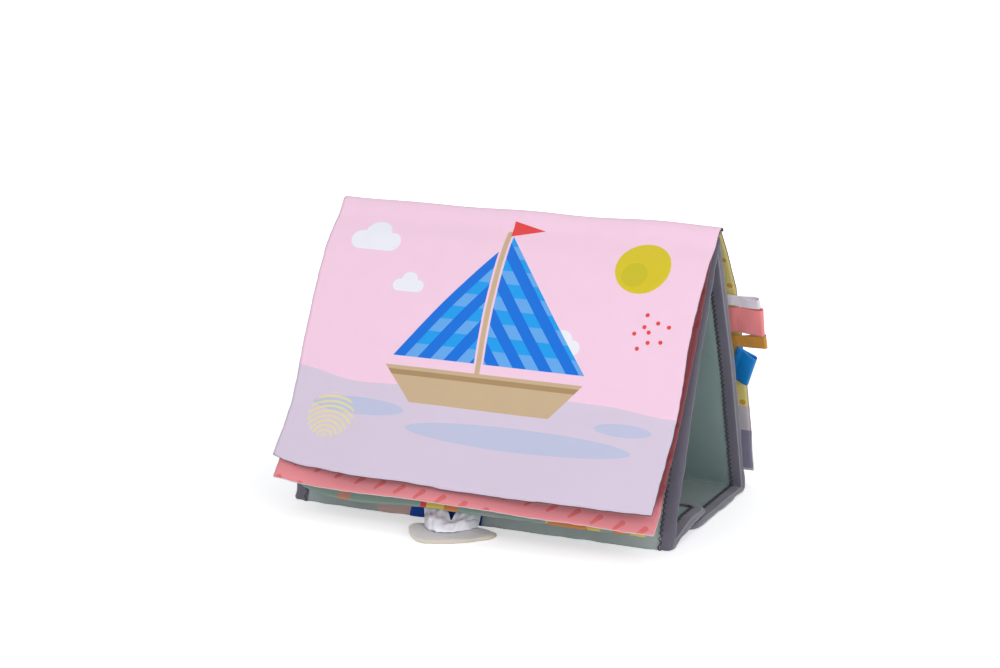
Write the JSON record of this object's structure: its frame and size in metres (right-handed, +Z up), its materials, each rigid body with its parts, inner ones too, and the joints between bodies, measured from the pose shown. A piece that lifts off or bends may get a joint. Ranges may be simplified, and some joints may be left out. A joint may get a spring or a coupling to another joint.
{
  "type": "cloth easel book",
  "caption": "Cloth easel book that stands as a tent on folded base flaps, with printed cloth leaves hanging over its ridge, ribbon loops and a felt leaf.",
  "frame": {"origin": "middle of the base, on the floor face of the rear base flap", "axes": "+X along the ridge, +Y from front to rear, +Z up"},
  "size_m": [0.2657, 0.201, 0.1802],
  "materials": {
    "cover_print": "printed woven polyester, matt",
    "cover_lining": "sage woven polyester, soft sheen",
    "binding_tape": "grey folded binding tape, zigzag stitched",
    "stiff_board": "plain sheet, sewn in",
    "leaf_print": "printed woven cloth, matt",
    "ribbon_white": "satin",
    "ribbon_coral": "grosgrain",
    "ribbon_mustard": "grosgrain",
    "ribbon_blue": "satin",
    "strap_satin": "gathered satin",
    "felt": "soft terry felt",
    "hook_and_loop": "hook and loop tape"
  },
  "bodies": {
    "rear_cover": {"rear_cover_cloth": "cover_print", "rear_cover_board": "stiff_board", "rear_cover_lining": "cover_lining", "rear_cover_binding_left": "binding_tape", "rear_cover_binding_right": "binding_tape", "spine_roll": "binding_tape", "rear_leaf": "leaf_print", "ribbon_white": "ribbon_white", "ribbon_coral": "ribbon_coral", "ribbon_mustard": "ribbon_mustard", "ribbon_blue": "ribbon_blue"},
    "front_cover": {"front_cover_cloth": "cover_print", "front_cover_board": "stiff_board", "front_cover_lining": "cover_lining", "front_cover_binding_left": "binding_tape", "front_cover_binding_right": "binding_tape", "front_leaves": "leaf_print", "gathered_strap": "strap_satin", "felt_leaf": "felt"},
    "front_base_flap": {"front_flap_cloth": "cover_print", "front_flap_board": "stiff_board", "front_flap_lining": "cover_lining", "front_flap_binding": "binding_tape", "hook_strip": "hook_and_loop"},
    "rear_base_flap": {"rear_flap_cloth": "cover_print", "rear_flap_board": "stiff_board", "rear_flap_lining": "cover_lining", "rear_flap_binding": "binding_tape", "loop_strip": "hook_and_loop"}
  },
  "joints": [
    {"name": "cover_hinge", "type": "hinge", "parent": "rear_cover", "child": "front_cover", "pos_m": [0, 0, 0.17816], "axis": [-1, 0, 0], "range_deg": [0, 134]},
    {"name": "front_flap_hinge", "type": "hinge", "parent": "front_cover", "child": "front_base_flap", "pos_m": [0, -0.06527, 0.00433], "axis": [1, 0, 0], "range_deg": [0, 58]},
    {"name": "rear_flap_hinge", "type": "hinge", "parent": "rear_cover", "child": "rear_base_flap", "pos_m": [0, 0.06856, -0.0004], "axis": [1, 0, 0], "range_deg": [0, 105]}
  ]
}
